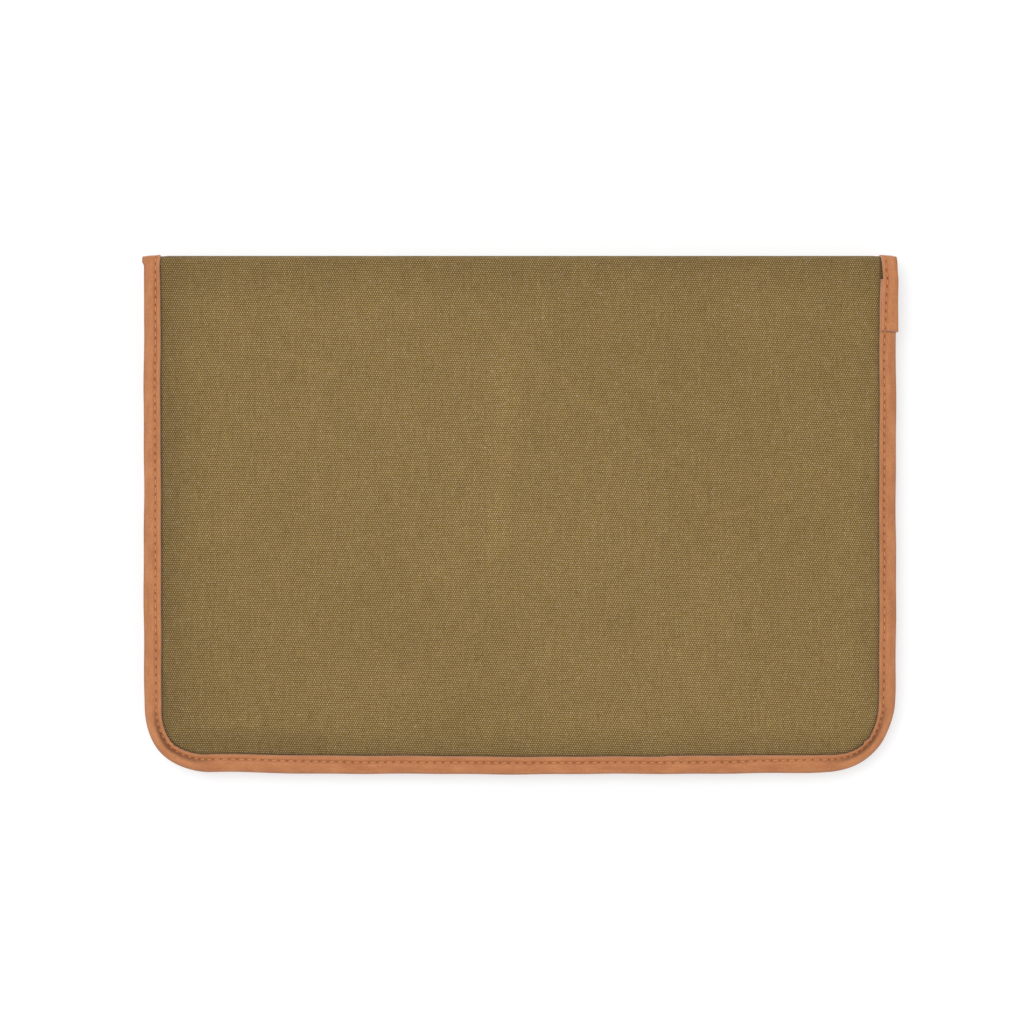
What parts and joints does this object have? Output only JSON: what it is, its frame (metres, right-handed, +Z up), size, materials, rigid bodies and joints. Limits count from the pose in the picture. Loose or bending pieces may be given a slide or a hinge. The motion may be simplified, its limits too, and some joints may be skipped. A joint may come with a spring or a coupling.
{
  "type": "laptop sleeve",
  "caption": "Padded canvas laptop sleeve with a leather-bound edge and a full-length flap that folds over the pocket.",
  "frame": {"origin": "centre of the bounding box on the plane that the sleeve lies on", "axes": "+X across the sleeve to the right, +Y from the closed bottom edge to the fold, +Z up from the back to the flap"},
  "size_m": [0.345, 0.236, 0.0216],
  "materials": {
    "canvas": "olive cotton duck, plain weave, washed",
    "leather": "smooth tan leather",
    "thread": "waxed orange thread",
    "lining": "brushed cotton twill",
    "padding": "needled felt",
    "magnet": "nickel plated",
    "patch": "fused non-woven"
  },
  "bodies": {
    "pocket": {"back_canvas": "canvas", "back_padding": "padding", "back_lining": "lining", "front_canvas": "canvas", "front_padding": "padding", "front_lining": "lining", "mouth_binding": "leather", "mouth_thread": "thread", "pocket_binding": "leather", "pocket_needle_thread": "thread", "pocket_bobbin_thread": "thread", "pocket_magnet_left": "magnet", "pocket_magnet_right": "magnet", "pocket_magnet_patch_left": "patch", "pocket_magnet_patch_right": "patch"},
    "spine": {"spine_canvas": "canvas", "spine_padding": "padding", "spine_lining": "lining", "spine_binding_left": "leather", "spine_binding_right": "leather", "spine_thread_left": "thread", "spine_thread_right": "thread"},
    "flap": {"flap_canvas": "canvas", "flap_padding": "padding", "flap_lining": "lining", "flap_binding": "leather", "binding_tail": "leather", "flap_needle_thread": "thread", "flap_bobbin_thread": "thread", "flap_magnet_left": "magnet", "flap_magnet_right": "magnet", "flap_magnet_patch_left": "patch", "flap_magnet_patch_right": "patch"}
  },
  "joints": [
    {"name": "spine_fold", "type": "hinge", "parent": "pocket", "child": "spine", "pos_m": [0, 0.11714, 0.00086], "axis": [-1, 0, 0], "range_deg": [0, 90]},
    {"name": "flap_fold", "type": "hinge", "parent": "spine", "child": "flap", "pos_m": [0, 0.11714, 0.01994], "axis": [-1, 0, 0], "range_deg": [0, 90]}
  ],
  "couplings": [
    {"joint": "flap_fold", "follows": "spine_fold", "ratio": 1}
  ]
}
